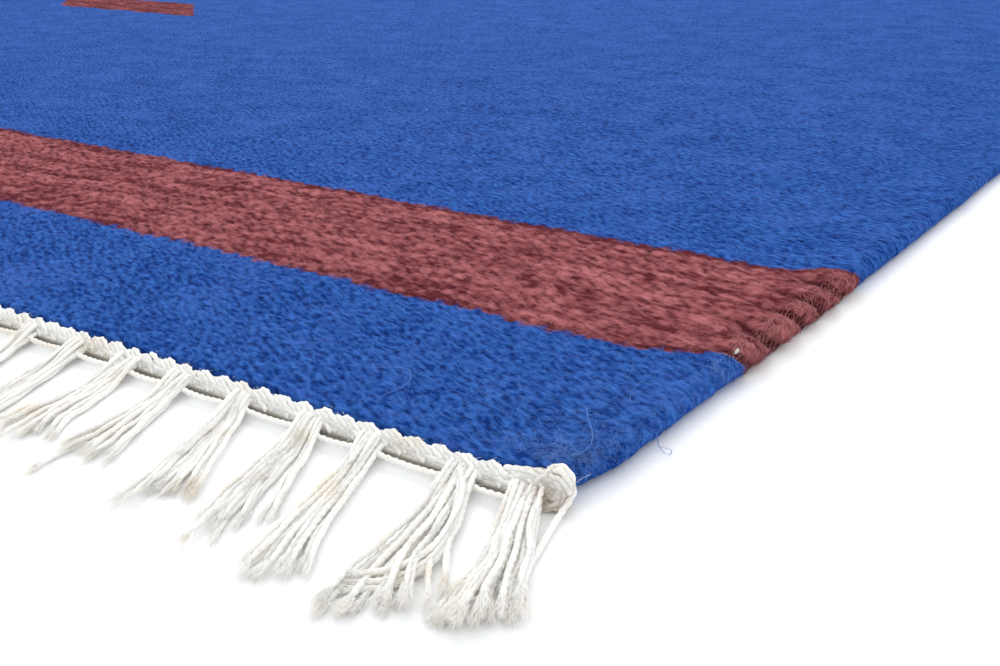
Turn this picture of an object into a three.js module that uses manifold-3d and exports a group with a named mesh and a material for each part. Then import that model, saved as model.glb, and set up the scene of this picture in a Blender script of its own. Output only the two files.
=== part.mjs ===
// A flat-woven wool kilim, lying flat on the floor: one weft-faced cloth, and at each end the warp ends
// turned into a braid, held by a neck cord and hanging out as tassels. Millimetres, +Z up.
// The origin is under the middle of the rug. X runs along the wefts, from selvedge to selvedge, and Y
// along the warps. The far end is the near end turned half a turn about Z.
import * as THREE from "three";
import Module from "manifold-3d";

const wasm = await Module();
wasm.setup();

// The cloth
const CLOTH_WIDE = 1220;
const CLOTH_LONG = 1830;
const FIELD_THICK = 4.2;
const EDGE_THICK = 5.6; // the outer warps are bundled, so the selvedge is a thicker, rounded edge
const EDGE_ROUND = 4.6; // how far in from the selvedge the rounding begins
const EDGE_FADE = 26; // how far in from the selvedge the cloth is back to its field thickness
const EDGE_WANDER = 1.2; // the selvedges wander by this much either way along the length
const END_FLARE = 5.4; // near the ends each selvedge lies this much further out
const FLARE_FROM = 460; // from the middle of the rug to where the flare begins
const FLARE_LONG = 360; // and the length over which it grows
const FIELD_STIR = 0.3; // the top of the field rises and falls by this much
const BAND_FROM_END = 62;
const BAND_WIDE = 76;
const BAND_PROUD = 0.6; // the coarser yarn of the bands stands this far out at the selvedges
const BAND_EDGE = 3; // length over which it does

// The braid that locks the last weft, and the cord at the necks of the tassels
const SEAT = 0.3; // clear space between the cloth and the braid
const BRAID_WIDE = 5.4;
const BRAID_THICK = 4.8;
const NECK_OUT = 7.7; // from the cloth's end to the middle of the neck cord
const NECK_CORD = 1.9;
const NECK_HIGH = 2.2;
// The braid ends in a knot at each selvedge: how far out past the selvedge, and how much it swells.
const KNOT = [
  { past: 4, swell: 0.72 },
  { past: 2, swell: 1.16 },
  { past: -1.6, swell: 1.28 },
];

// The tassels. Each parts into two locks beyond the neck cord. Across is measured from the selvedge,
// lean is in degrees towards it, and reach is how far out of the cloth's end the tips lie.
const TASSEL_COUNT = 68;
const ACROSS_STIR = 1.1; // how unevenly the tassels stand
const LEAN = 20;
const LEAN_STIR = 5;
const REACH = 41;
const REACH_STIR = 3;
const TIP_STIR = 1.8; // how unevenly a tassel's two locks end
const BOW_STIR = 1.2;
const FAN = 5; // degrees that each lock turns away from its tassel's own lean
const ROOT_OUT = 4.2;
const FORK_OUT = 10.5;
const ROOT_WIDE = 4.2;
const ROOT_LOW = 0.7;
const ROOT_HIGH = 3.3;
const FORK_WIDE = 5.8;
const LOCK_WIDE = 4.2;
const LOCK_THICK = 3.2;
const CORNER_TASSELS = [
  { across: 4, lean: 24, reach: 41, fan: 6 },
  { across: 16.9, lean: 19, reach: 45, fan: 7 },
  { across: 38.4, lean: 21, reach: 45, fan: 4 },
  { across: 54.4, lean: 23, reach: 39, fan: 4 },
  { across: 74.2, lean: 25, reach: 40, fan: 4 },
  { across: 92, lean: 19, reach: 38, fan: 5 },
  { across: 109.3, lean: 18, reach: 38, fan: 5 },
];

// From -1 to 1, different for each i and the same every time.
function uneven(i, kind) {
  return 0.6 * Math.sin(2.4 * i + 1.7 * kind) + 0.4 * Math.sin(5.3 * i + 0.9 * kind + 1);
}

function smooth(t) {
  const u = Math.min(1, Math.max(0, t));
  return u * u * (3 - 2 * u);
}

// The cloth's section across the wefts: flat below, rounded at both selvedges, the thicker edges
// fading into the field.
function clothSection() {
  const half = CLOTH_WIDE / 2;
  const centre = half - EDGE_ROUND;
  const rise = EDGE_THICK / 2;
  const arcSteps = 6;
  const fieldSteps = 6;
  const right = [];
  for (let k = 0; k <= arcSteps; k++) {
    const a = -Math.PI / 2 + (Math.PI * k) / arcSteps;
    right.push([centre + EDGE_ROUND * Math.cos(a), rise + rise * Math.sin(a)]);
  }
  right.push([half - EDGE_FADE / 2, (EDGE_THICK + FIELD_THICK) / 2]);
  const inner = half - EDGE_FADE;
  const field = [];
  for (let k = 0; k <= fieldSteps; k++) {
    field.push([inner - (2 * inner * k) / fieldSteps, FIELD_THICK]);
  }
  const left = right.map(([x, z]) => [-x, z]).reverse();
  const section = new THREE.Shape();
  [...right, ...field, ...left].forEach(([x, z], k) => {
    if (k === 0) section.moveTo(x, z);
    else section.lineTo(x, z);
  });
  return section;
}

// Where the cloth's sections stand along Y: at the edges of the bands, and evenly between them.
function clothStations() {
  const end = CLOTH_LONG / 2;
  const bandOut = end - BAND_FROM_END;
  const bandIn = bandOut - BAND_WIDE;
  const half = [end, end - BAND_FROM_END / 2, bandOut + BAND_EDGE, bandOut];
  half.push((bandOut + bandIn) / 2, bandIn, bandIn - BAND_EDGE);
  const openSteps = 8;
  for (let k = 1; k < openSteps; k++) {
    half.push((bandIn - BAND_EDGE) * (1 - k / openSteps));
  }
  return [...half.map((y) => -y), 0, ...half.reverse()];
}

function bandShare(y) {
  const out = CLOTH_LONG / 2 - Math.abs(y);
  const into = smooth((out - BAND_FROM_END + BAND_EDGE) / BAND_EDGE);
  const past = smooth((out - BAND_FROM_END - BAND_WIDE) / BAND_EDGE);
  return into - past;
}

// The selvedges wander and flare sideways and the top stirs a little, in such a way that half a turn
// leaves the cloth as it is.
function clothMesh() {
  const stations = clothStations();
  const steps = stations.length - 1;
  const geometry = new THREE.ExtrudeGeometry(clothSection(), { depth: steps, steps, bevelEnabled: false });
  const p = geometry.attributes.position;
  for (let i = 0; i < p.count; i++) {
    const x = p.getX(i);
    const z = p.getY(i);
    const y = stations[Math.round(p.getZ(i))];
    const side = smooth((Math.abs(x) - CLOTH_WIDE / 2 + 2 * EDGE_FADE) / EDGE_FADE) * Math.sign(x);
    const wander = EDGE_WANDER * Math.sin((y * side) / 143) * Math.cos(y / 410);
    const flare = END_FLARE * smooth((Math.abs(y) - FLARE_FROM) / FLARE_LONG);
    const proud = BAND_PROUD * bandShare(y);
    const stir = FIELD_STIR * Math.sin(x / 97) * Math.sin(y / 121);
    const up = z > FIELD_THICK / 2 ? (z / FIELD_THICK) * (stir + proud / 2) : 0;
    p.setXYZ(i, x + side * (wander + flare + proud), y, z + up);
  }
  // Laying the extrusion down along Y swaps two axes, which turns every face round.
  return turnFaces(geometry);
}

function turnFaces(geometry) {
  const p = geometry.attributes.position;
  const a = new THREE.Vector3();
  const b = new THREE.Vector3();
  for (let i = 0; i < p.count; i += 3) {
    a.fromBufferAttribute(p, i + 1);
    b.fromBufferAttribute(p, i + 2);
    p.setXYZ(i + 1, b.x, b.y, b.z);
    p.setXYZ(i + 2, a.x, a.y, a.z);
  }
  geometry.computeVertexNormals();
  return geometry;
}

// The faces between two rings of point numbers.
function tube(from, to) {
  return from.flatMap((a, s) => {
    const t = (s + 1) % from.length;
    return [
      [a, to[s], to[t]],
      [a, to[t], from[t]],
    ];
  });
}

// A closed solid from its points and faces. It is turned the right way out if the faces face inwards.
function solid(points, faces) {
  const built = new wasm.Manifold(
    new wasm.Mesh({
      numProp: 3,
      vertProperties: new Float32Array(points.flat()),
      triVerts: new Uint32Array(faces.flat()),
    }),
  );
  return built.volume() > 0 ? built : solid(points, faces.map(([a, b, c]) => [a, c, b]));
}

// A closed solid through rings of equally many points, its first and last ring filled.
function loft(rings) {
  const sides = rings[0].length;
  const numbers = rings.map((_, r) => rings[0].map((_, s) => r * sides + s));
  const faces = numbers.slice(1).flatMap((ring, r) => tube(numbers[r], ring));
  const last = numbers[numbers.length - 1];
  for (let s = 1; s + 1 < sides; s++) {
    faces.push([0, s, s + 1], [last[0], last[s + 1], last[s]]);
  }
  return solid(rings.flat(), faces);
}

// The near end's tassels, from the right selvedge to the left one.
function tassels() {
  const list = [...CORNER_TASSELS];
  const start = list[list.length - 1].across;
  const left = CLOTH_WIDE - CORNER_TASSELS[0].across;
  const rest = TASSEL_COUNT - list.length;
  for (let k = 1; k <= rest; k++) {
    list.push({
      across: start + ((left - start) * k) / rest + (k < rest ? ACROSS_STIR * uneven(k, 1) : 0),
      lean: LEAN + LEAN_STIR * uneven(k, 2),
      reach: REACH + REACH_STIR * uneven(k, 3),
      fan: FAN,
    });
  }
  return list;
}

// The braid: a rounded strip, a little uneven from tassel to tassel, that swells into a knot at each
// selvedge.
function braid(list) {
  const half = CLOTH_WIDE / 2;
  const stations = KNOT.map(({ past, swell }) => ({ x: half + past, swell }));
  stations.push(...list.map(({ across }, k) => ({ x: half - across, swell: 1 + 0.06 * uneven(k, 7) })));
  stations.push(...[...KNOT].reverse().map(({ past, swell }) => ({ x: -half - past, swell })));
  const outline = [
    [0, 0],
    [0, 0.7],
    [0.42, 1],
    [1, 0.5],
    [0.84, 0],
  ];
  const inner = -CLOTH_LONG / 2 - SEAT;
  return loft(
    stations.map(({ x, swell }) =>
      outline.map(([out, up]) => [x, inner - out * BRAID_WIDE * swell, up * BRAID_THICK * swell]),
    ),
  );
}

// The neck cord runs through every tassel, from the first to the last.
function neckCord(list) {
  const half = CLOTH_WIDE / 2;
  const r = NECK_CORD / 2;
  const section = [
    [-r, -0.6 * r],
    [r, -0.6 * r],
    [0, r],
  ];
  const y = -CLOTH_LONG / 2 - NECK_OUT;
  return loft(
    list.map(({ across }, k) =>
      section.map(([out, up]) => [half - across, y - out + 0.4 * uneven(k, 4), NECK_HIGH + up]),
    ),
  );
}

// One tassel: a short trunk from inside the braid to beyond the neck cord, then two three-sided locks
// that lie flat on the floor, bowed a little and drawn in at the tips.
function tassel({ across, lean, reach, fan }, k) {
  const end = -CLOTH_LONG / 2;
  const at = (out, turn) => {
    const slope = Math.tan(THREE.MathUtils.degToRad(lean + turn));
    return CLOTH_WIDE / 2 - across + (out - ROOT_OUT) * slope;
  };
  const trunkRing = (out, wide, floor, top) => {
    const x = at(out, 0);
    const y = end - out;
    return [
      [x - wide / 2, y, floor],
      [x, y, floor],
      [x + wide / 2, y, floor],
      [x + 0.3 * wide, y, top],
      [x - 0.3 * wide, y, top],
    ];
  };
  const root = trunkRing(ROOT_OUT, ROOT_WIDE, ROOT_LOW, ROOT_HIGH);
  const points = [...root, ...trunkRing(FORK_OUT, FORK_WIDE, 0, LOCK_THICK)];
  const faces = [...tube([0, 1, 2, 3, 4], [5, 6, 7, 8, 9]), [0, 1, 4], [1, 3, 4], [1, 2, 3]];
  faces.push([6, 9, 8]);
  for (const side of [-1, 1]) {
    let ring = side < 0 ? [5, 6, 9] : [6, 7, 8];
    const tip = reach + TIP_STIR * uneven(k, 9 + side);
    const bow = BOW_STIR * uneven(k, 14 + side);
    const rows = [
      { out: (FORK_OUT + tip) / 2, wide: LOCK_WIDE, thick: 0.9 * LOCK_THICK, bow },
      { out: tip, wide: 0.6 * LOCK_WIDE, thick: 0.5 * LOCK_THICK, bow: 0 },
    ];
    for (const row of rows) {
      const x = at(row.out, side * fan) + (side * FORK_WIDE) / 4 + row.bow;
      const y = end - row.out;
      const next = [points.length, points.length + 1, points.length + 2];
      const crest = x + 0.1 * side * row.wide;
      points.push([x - row.wide / 2, y, 0], [x + row.wide / 2, y, 0], [crest, y, row.thick]);
      faces.push(...tube(ring, next));
      ring = next;
    }
    faces.push([ring[0], ring[2], ring[1]]);
  }
  return solid(points, faces);
}

function fringeGeometry() {
  const list = tassels();
  const mesh = wasm.Manifold.union([braid(list), neckCord(list), ...list.map(tassel)]).getMesh();
  const geometry = new THREE.BufferGeometry();
  geometry.setAttribute("position", new THREE.BufferAttribute(mesh.vertProperties, 3));
  geometry.setIndex(new THREE.BufferAttribute(mesh.triVerts, 1));
  return geometry;
}

const blueWool = new THREE.MeshStandardMaterial({ color: 0x2f55a8, roughness: 0.95, metalness: 0 });
const creamCotton = new THREE.MeshStandardMaterial({ color: 0xe6e1d6, roughness: 0.9, metalness: 0 });

const kilim = new THREE.Group();

const cloth = new THREE.Mesh(clothMesh(), blueWool);
cloth.name = "woven_cloth";
kilim.add(cloth);

const fringe = fringeGeometry();
for (const [name, turn] of [
  ["fringe_near", 0],
  ["fringe_far", Math.PI],
]) {
  const mesh = new THREE.Mesh(fringe, creamCotton);
  mesh.name = name;
  mesh.rotation.z = turn;
  kilim.add(mesh);
}

export default kilim;
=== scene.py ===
import math

import bpy
import numpy as np
from mathutils import Matrix, Vector


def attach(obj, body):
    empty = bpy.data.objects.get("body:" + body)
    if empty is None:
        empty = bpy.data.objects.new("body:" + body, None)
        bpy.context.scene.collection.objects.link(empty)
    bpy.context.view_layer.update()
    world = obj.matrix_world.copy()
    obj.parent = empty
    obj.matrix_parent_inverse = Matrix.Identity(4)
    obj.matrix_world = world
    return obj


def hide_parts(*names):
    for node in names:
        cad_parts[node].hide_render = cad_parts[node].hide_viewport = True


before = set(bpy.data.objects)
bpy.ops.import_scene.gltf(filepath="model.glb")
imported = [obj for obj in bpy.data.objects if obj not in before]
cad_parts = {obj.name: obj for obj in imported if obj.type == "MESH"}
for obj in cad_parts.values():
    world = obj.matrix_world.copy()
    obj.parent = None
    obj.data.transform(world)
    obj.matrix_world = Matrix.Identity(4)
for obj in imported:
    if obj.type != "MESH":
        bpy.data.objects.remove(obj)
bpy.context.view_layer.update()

# The camera. It stands low over the rug's near right corner, one tenth of a metre up, and looks back
# across the cloth. Its height and turn come from the vanishing points of the selvedge and the end.
CAMERA_AT = (0.7087, -1.0720, 0.1000)
CAMERA_TURN = math.radians(35.04)  # from +Y towards -X
CAMERA_DIP = math.radians(20.40)
CAMERA_LENS = 42.6
CAMERA_SENSOR = 36
CAMERA_NEAREST = 0.005
CAMERA_FURTHEST = 50

level = math.cos(CAMERA_DIP)
forward = Vector(
    (-math.sin(CAMERA_TURN) * level, math.cos(CAMERA_TURN) * level, -math.sin(CAMERA_DIP))
)
camera_data = bpy.data.cameras.new("camera")
camera_data.lens = CAMERA_LENS
camera_data.sensor_width = CAMERA_SENSOR
camera_data.clip_start = CAMERA_NEAREST
camera_data.clip_end = CAMERA_FURTHEST
camera = bpy.data.objects.new("camera", camera_data)
bpy.context.collection.objects.link(camera)
camera.rotation_mode = "QUATERNION"
camera.rotation_quaternion = forward.to_track_quat("-Z", "Y")
camera.location = CAMERA_AT
bpy.context.scene.camera = camera

# The stage: a seamless white floor, a bright even room, and one broad soft light from the far left.
FLOOR_SIZE = 16
FLOOR_TONE = (0.93, 0.94, 0.95)
FLOOR_ROUGH = 0.8
ROOM_TONE = (0.97, 0.985, 1.0)
ROOM_STRENGTH = 1.13
LIGHT_AT = Vector((-0.9, 0.9, 1.6))
LIGHT_AIM = Vector((0.5, -0.8, 0))
LIGHT_SIZE = 1.6
LIGHT_POWER = 27


class Nodes:
    """A material's node tree. node() adds any node, with its settings and its inputs."""

    def __init__(self, name):
        self.material = bpy.data.materials.new(name)
        self.material.use_nodes = True
        self.tree = self.material.node_tree
        self.tree.nodes.clear()
        self.out = self.tree.nodes.new("ShaderNodeOutputMaterial")

    def node(self, kind, inputs=(), output=0, **settings):
        made = self.tree.nodes.new(kind)
        for key, value in settings.items():
            setattr(made, key, value)
        for key, value in dict(inputs).items():
            if isinstance(value, Wire):
                self.tree.links.new(value.socket, made.inputs[key])
            else:
                made.inputs[key].default_value = value
        return Wire(self, made.outputs[output])

    def mix(self, share, a, b):
        """One colour fading into another."""
        return self.node(
            "ShaderNodeMix", {0: share, 6: a, 7: b}, output=2, data_type="RGBA", clamp_factor=True
        )

    def smooth(self, value, low, high):
        """0 below low and 1 above high."""
        return self.node(
            "ShaderNodeMapRange", {0: value, 1: low, 2: high}, interpolation_type="SMOOTHSTEP"
        )

    def split(self, vector):
        """A vector's three parts."""
        made = self.node("ShaderNodeSeparateXYZ", {0: vector})
        return [Wire(self, socket) for socket in made.socket.node.outputs]

    def noise(self, place, scale, detail, output=0):
        """Uneven cloud, as one value or, from output 1, as a colour of three."""
        inputs = {"Vector": place, "Scale": scale, "Detail": detail}
        return self.node("ShaderNodeTexNoise", inputs, output=output)

    def stretched(self, place, scale, detail):
        """Noise with its own scale along each axis."""
        at = self.node("ShaderNodeVectorMath", {0: place, 1: scale}, operation="MULTIPLY")
        return self.noise(at, 1, detail)

    def finish(self, shader):
        self.tree.links.new(shader.socket, self.out.inputs["Surface"])
        return self.material


class Wire:
    """One output socket, with arithmetic."""

    def __init__(self, nodes, socket):
        self.nodes = nodes
        self.socket = socket

    def maths(self, operation, *values):
        return self.nodes.node("ShaderNodeMath", dict(enumerate(values)), operation=operation)

    def __add__(self, other):
        return self.maths("ADD", self, other)

    def __radd__(self, other):
        return self.maths("ADD", other, self)

    def __sub__(self, other):
        return self.maths("SUBTRACT", self, other)

    def __rsub__(self, other):
        return self.maths("SUBTRACT", other, self)

    def __mul__(self, other):
        return self.maths("MULTIPLY", self, other)

    def __rmul__(self, other):
        return self.maths("MULTIPLY", other, self)

    def __truediv__(self, other):
        return self.maths("DIVIDE", self, other)

    def __gt__(self, other):
        return self.maths("GREATER_THAN", self, other)

    def __lt__(self, other):
        return self.maths("LESS_THAN", self, other)

    def floor(self):
        return self.maths("FLOOR", self)

    def sign(self):
        return self.maths("SIGN", self)

    def sine(self):
        return self.maths("SINE", self)

    def power(self, other):
        return self.maths("POWER", self, other)

    def fract(self):
        return self.maths("FRACT", self)

    def abs(self):
        return self.maths("ABSOLUTE", self)

    def atleast(self, other):
        return self.maths("MAXIMUM", self, other)

    def atmost(self, other):
        return self.maths("MINIMUM", self, other)


floor_mesh = bpy.data.meshes.new("floor")
side = FLOOR_SIZE / 2
corners = [(-side, -side, 0), (side, -side, 0), (side, side, 0), (-side, side, 0)]
floor_mesh.from_pydata(corners, [], [(0, 1, 2, 3)])
floor = bpy.data.objects.new("floor", floor_mesh)
bpy.context.collection.objects.link(floor)
nodes = Nodes("white_floor")
paint = {"Base Color": (*FLOOR_TONE, 1), "Roughness": FLOOR_ROUGH}
floor_mesh.materials.append(nodes.finish(nodes.node("ShaderNodeBsdfPrincipled", paint)))

light_data = bpy.data.lights.new("soft_light", "AREA")
light_data.size = LIGHT_SIZE
light_data.energy = LIGHT_POWER
light = bpy.data.objects.new("soft_light", light_data)
light.location = LIGHT_AT
light.rotation_mode = "QUATERNION"
light.rotation_quaternion = (LIGHT_AIM - LIGHT_AT).to_track_quat("-Z", "Y")
bpy.context.collection.objects.link(light)

world = bpy.data.worlds.new("room")
bpy.context.scene.world = world
world.use_nodes = True
room = world.node_tree.nodes["Background"]
room.inputs["Color"].default_value = (*ROOM_TONE, 1)
room.inputs["Strength"].default_value = ROOM_STRENGTH
bpy.context.scene.view_settings.view_transform = "Standard"
bpy.context.scene.view_settings.look = "None"

# The cloth: weft-faced wool on cotton warps, 1220 by 1830 mm, in one piece with its bands. Each weft
# shows as a plump grain over one warp and hides under the next, so neighbouring columns of grains
# stand half a grain apart. At the selvedges the wefts turn round bundled warps, which makes a thick
# rounded edge, and the coarser red-brown yarn turns there in slanting coils.
HALF_WIDE = 0.610
HALF_LONG = 0.915
FIELD_THICK = 0.0042
EDGE_THICK = 0.0056
EDGE_ROUND = 0.0046
EDGE_FADE = 0.026
EDGE_WANDER = 0.0012
EDGE_WANDER_LONG = (0.143, 0.410)
EDGE_RIM = 0.010  # how far in from the selvedge the weave is packed flat and felted
END_FLARE = 0.0050  # near the ends each selvedge lies this much further out
FLARE_FROM = 0.460
FLARE_LONG = 0.360
CORNER_TUCK = 0.0024  # and at the corners it is drawn in by the end's knots
CORNER_TUCK_LONG = 0.018
FIELD_STIR = 0.0003  # the cloth doesn't lie quite flat
FIELD_STIR_LONG = (0.097, 0.121)
RIPPLE = 0.00028
RIPPLE_LONG = 0.034
LUMP = 0.00026
LUMP_LONG = 0.0065
BAND_FROM_END = 0.0628
BAND_WIDE = 0.0758
BAND_EDGE = 0.003
BAND_PROUD = 0.0003
BAND_BOW = 0.006  # near a selvedge the wefts round the bands bend inwards by this much
BAND_BOW_FROM = 0.034
BAR_FROM = -0.390  # the slanting bar in the field, and its twin half a turn away
BAR_WIDE = 0.076
BAR_LEFT = -0.258
BAR_RIGHT = -0.080
BAR_LEAN = 1.14
WARP_PITCH = 0.0030
GRAIN_LONG = 0.00345
BAND_GRAIN_LONG = 0.0046
GRAIN_SLANT = 0.30
GRAIN_HALF_WIDE = 0.78  # a grain's half width in warps and half length in wefts: each overlaps the next
GRAIN_HALF_LONG = 0.52
GRAIN_STRAY = (0.00060, 0.00090)  # how far the grains stray from their columns and rows
GRAIN_STRAY_LONG = 0.006
GRAIN_RELIEF = 0.00042
SOFT_CREASE = 0.06
RIM_PLAIN = 0.007  # near the selvedges the grains blur into felted wool
TOOTH_SOFT = 0.32  # in wefts, how softly one colour gives way to the other
COIL_PITCH = 0.0146
COIL_OUT = 0.0012
COIL_SLANT = 1.1
COIL_TURN_IN = 0.35  # how much the coils' slant goes on over the cloth's top
COIL_STIR = 0.13
COIL_STIR_LONG = 0.0071
COIL_DEEP = 0.020  # how far in from the selvedge the coils show
BLUE = (0.003, 0.034, 0.205)
BLUE_PALE = (0.044, 0.154, 0.525)
BLUE_VIOLET = (0.045, 0.105, 0.410)
# Painted shade: the blue that creases, low spots and coil slits are darkened towards.
BLUE_SHADE = (0.002, 0.014, 0.110)
# Painted sheen, in part: the paler colour that single loose blue fibres go towards, as with light shining
# through them.
BLUE_FIBRE = (0.150, 0.270, 0.600)
RED = (0.110, 0.016, 0.023)
RED_PALE = (0.440, 0.143, 0.153)
# Painted shade: the red-brown that creases, low spots and coil slits are darkened towards; it also darkens
# the bands' outer rows a little.
RED_SHADE_AND_DARK_ROWS = (0.048, 0.006, 0.010)
# Painted sheen, in part: the same for the red-brown loose fibres.
RED_FIBRE = (0.560, 0.240, 0.240)
STITCH_STRAY = (0.0050, 0.0058)  # how far the colours' edges stray from the straight weave
DASH_LEAN = (0.88, 0.47)  # the fibres show as short dashes, turned by this cosine and sine
DASH_SCALE = (330, 800, 700)
DASH_COARSE = 0.32  # and are coarser by this share in the bands' yarn
# How many patches, streaks or fibres of each unevenness of the wool there are to a metre.
STITCH_STRAY_SCALE = 190
PATCH_SCALE = 45
STREAK_SCALE = (24, 150, 20)
FINE_STREAK_SCALE = (70, 360, 20)
FIBRE_SCALE = (700, 1900, 1500)
WISP_SCALE = (1500, 800, 1500)
CLUMP_SCALE = 300
FELT_SCALE = 340
WOOL_BUMP = 0.0007
# The cloth's grid is finest by the photographed corner: how far each step runs, and how it then grows.
FINE_STEP = 0.0006
FINE_X = 0.070
FINE_Y = 0.085
BAND_STEP = 0.0011
BAND_STEP_Y = 0.165
STEP_GROWTH_X = 1.07
STEP_GROWTH_Y = 1.08
STEP_MOST_X = 0.016
STEP_MOST_Y = 0.018
RIM_STEPS = 15
UNDER_STEPS = 12


def smoothstep(t):
    u = np.clip(t, 0, 1)
    return u * u * (3 - 2 * u)


def spacing(stretches, total):
    """Distances from 0 to total. A stretch is how far it runs and its step, which may grow to a most."""
    at = [0.0]
    for reach, step, growth, most in stretches:
        while at[-1] < min(reach, total):
            at.append(at[-1] + step)
            step = min(step * growth, most)
    at = np.array(at)
    return at * (total / at[-1])


def band_share(y):
    """1 on the bands and 0 on the field, with soft edges."""
    out = HALF_LONG - np.abs(y)
    into = smoothstep((out - BAND_FROM_END + BAND_EDGE) / BAND_EDGE)
    past = smoothstep((out - BAND_FROM_END - BAND_WIDE) / BAND_EDGE)
    return into - past


def soft_noise(x, y, scale, seed):
    """A smooth uneven field, about -1 to 1, from a few sines."""
    rng = np.random.default_rng(seed)
    total = 0
    for _ in range(6):
        a = rng.uniform(0, 2 * math.pi)
        k = rng.uniform(0.6, 1.6) * 2 * math.pi / scale
        total = total + np.sin(k * (math.cos(a) * x + math.sin(a) * y) + rng.uniform(0, 6.28))
    return total / 3


def weft_number(x, y):
    """How many wefts in from the nearer end a place lies, bent near the selvedges as the bands are."""
    out = HALF_LONG - np.abs(y)
    bend = np.clip(1 - (HALF_WIDE - np.abs(x)) / BAND_BOW_FROM, 0, 2) ** 2
    out = out - bend * BAND_BOW * np.clip(out / BAND_FROM_END, 0, 1)
    coarse = np.clip(out - BAND_FROM_END, 0, BAND_WIDE)
    return out / GRAIN_LONG + coarse * (1 / BAND_GRAIN_LONG - 1 / GRAIN_LONG)


def grain_height(x, y):
    """The woven grain's height, about 0 in the creases and 1 on its crown."""
    x = x + GRAIN_STRAY[0] * soft_noise(x, y, GRAIN_STRAY_LONG, 1)
    number = weft_number(x, y + GRAIN_STRAY[1] * soft_noise(x, y, GRAIN_STRAY_LONG, 2))
    u = x / WARP_PITCH
    column = np.floor(u)
    s = u - column - 0.5

    def lens(s, column):
        t = number + 0.5 * np.mod(column, 2) + GRAIN_SLANT * s
        r = t - np.floor(t) - 0.5
        return 1 - (s / GRAIN_HALF_WIDE) ** 2 - (r / GRAIN_HALF_LONG) ** 2

    own = lens(s, column)
    beside = lens(s - np.sign(s), column + np.sign(s))
    return (own + beside + np.sqrt((own - beside) ** 2 + SOFT_CREASE)) / 2


def coil_height(x, y, z):
    """The coils of the bands' yarn at the selvedges, from -1 in a slit to 1."""
    inset = HALF_WIDE - np.abs(x)
    rim = smoothstep(1 - inset / COIL_DEEP)
    phase = (y + COIL_SLANT * (z - inset * COIL_TURN_IN)) * np.sign(x) / COIL_PITCH
    phase = phase + COIL_STIR * np.sin(y / COIL_STIR_LONG)
    slit = np.abs(np.sin(math.pi * phase)) ** 6
    return rim * band_share(y + np.sign(y) * 0.004) * (0.5 - 2 * slit)


def cloth_surface(x, y, z):
    """Moves the plain section's points to where the real cloth lies."""
    top = z > FIELD_THICK / 2
    side = smoothstep((np.abs(x) - HALF_WIDE + 2 * EDGE_FADE) / EDGE_FADE) * np.sign(x)
    quick, slow = EDGE_WANDER_LONG
    wander = EDGE_WANDER * np.sin(y * side / quick) * np.cos(y / slow)
    wander = wander + END_FLARE * smoothstep((np.abs(y) - FLARE_FROM) / FLARE_LONG)
    wander = wander - CORNER_TUCK * smoothstep((np.abs(y) - HALF_LONG) / CORNER_TUCK_LONG + 1)
    proud = BAND_PROUD * band_share(y)
    stir = FIELD_STIR * np.sin(x / FIELD_STIR_LONG[0]) * np.sin(y / FIELD_STIR_LONG[1])
    rim = smoothstep((np.abs(x) - HALF_WIDE + EDGE_RIM) / EDGE_RIM)
    coil = COIL_OUT * coil_height(x, y, z)
    lumps = LUMP * rim * soft_noise(x * 0.3, y, LUMP_LONG, 5)
    share = z / FIELD_THICK
    relief = GRAIN_RELIEF * (grain_height(x, y) - 0.75) * (1 - 0.8 * rim)
    ripple = RIPPLE * soft_noise(x, y, RIPPLE_LONG, 3)
    lift = np.where(top, share * (stir + proud * rim * 0.6) + coil + relief + ripple + lumps, 0)
    shoulder = np.clip(z / EDGE_THICK, 0, 1) * np.clip(4 - 4 * z / EDGE_THICK, 0, 1)
    outward = side * (wander + proud * rim + lumps) + np.sign(x) * coil * rim * (0.2 + shoulder)
    return x + outward, y, np.maximum(z + lift, 0)


# The plain section, once round: the right rounding, the top, the left rounding and the underside.
arc = np.linspace(0, math.pi, RIM_STEPS)[1:]
rim_x = HALF_WIDE - EDGE_ROUND + EDGE_ROUND * np.sin(arc)
rim_z = EDGE_THICK / 2 - EDGE_THICK / 2 * np.cos(arc)
flat_wide = 2 * (HALF_WIDE - EDGE_ROUND)
across = spacing(
    [(FINE_X, FINE_STEP, 1, 1), (flat_wide, FINE_STEP, STEP_GROWTH_X, STEP_MOST_X)], flat_wide
)
top_x = HALF_WIDE - EDGE_ROUND - across[1:-1]
fade = smoothstep((HALF_WIDE - np.abs(top_x)) / EDGE_FADE)
top_z = EDGE_THICK + (FIELD_THICK - EDGE_THICK) * fade
under_x = np.linspace(-HALF_WIDE + EDGE_ROUND, HALF_WIDE - EDGE_ROUND, UNDER_STEPS)
ring_x = np.concatenate([rim_x, top_x, -rim_x[::-1], under_x])
ring_z = np.concatenate([rim_z, top_z, rim_z[::-1], np.zeros(UNDER_STEPS)])
along = spacing(
    [
        (FINE_Y, FINE_STEP, 1, 1),
        (BAND_STEP_Y, BAND_STEP, 1, 1),
        (2 * HALF_LONG, BAND_STEP, STEP_GROWTH_Y, STEP_MOST_Y),
    ],
    2 * HALF_LONG,
)
grid_y, grid_x = np.meshgrid(along - HALF_LONG, ring_x, indexing="ij")
cloth_points = cloth_surface(grid_x, grid_y, np.broadcast_to(ring_z, grid_x.shape))
rings, ring_size = grid_x.shape
ring, spot = np.meshgrid(np.arange(rings - 1), np.arange(ring_size), indexing="ij")
here = ring * ring_size + spot
beside = ring * ring_size + (spot + 1) % ring_size
cloth_faces = np.stack([here + ring_size, beside + ring_size, beside, here], axis=-1).reshape(-1, 4)
near_end = list(range(ring_size))
far_end = [(rings - 1) * ring_size + s for s in reversed(near_end)]


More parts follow.
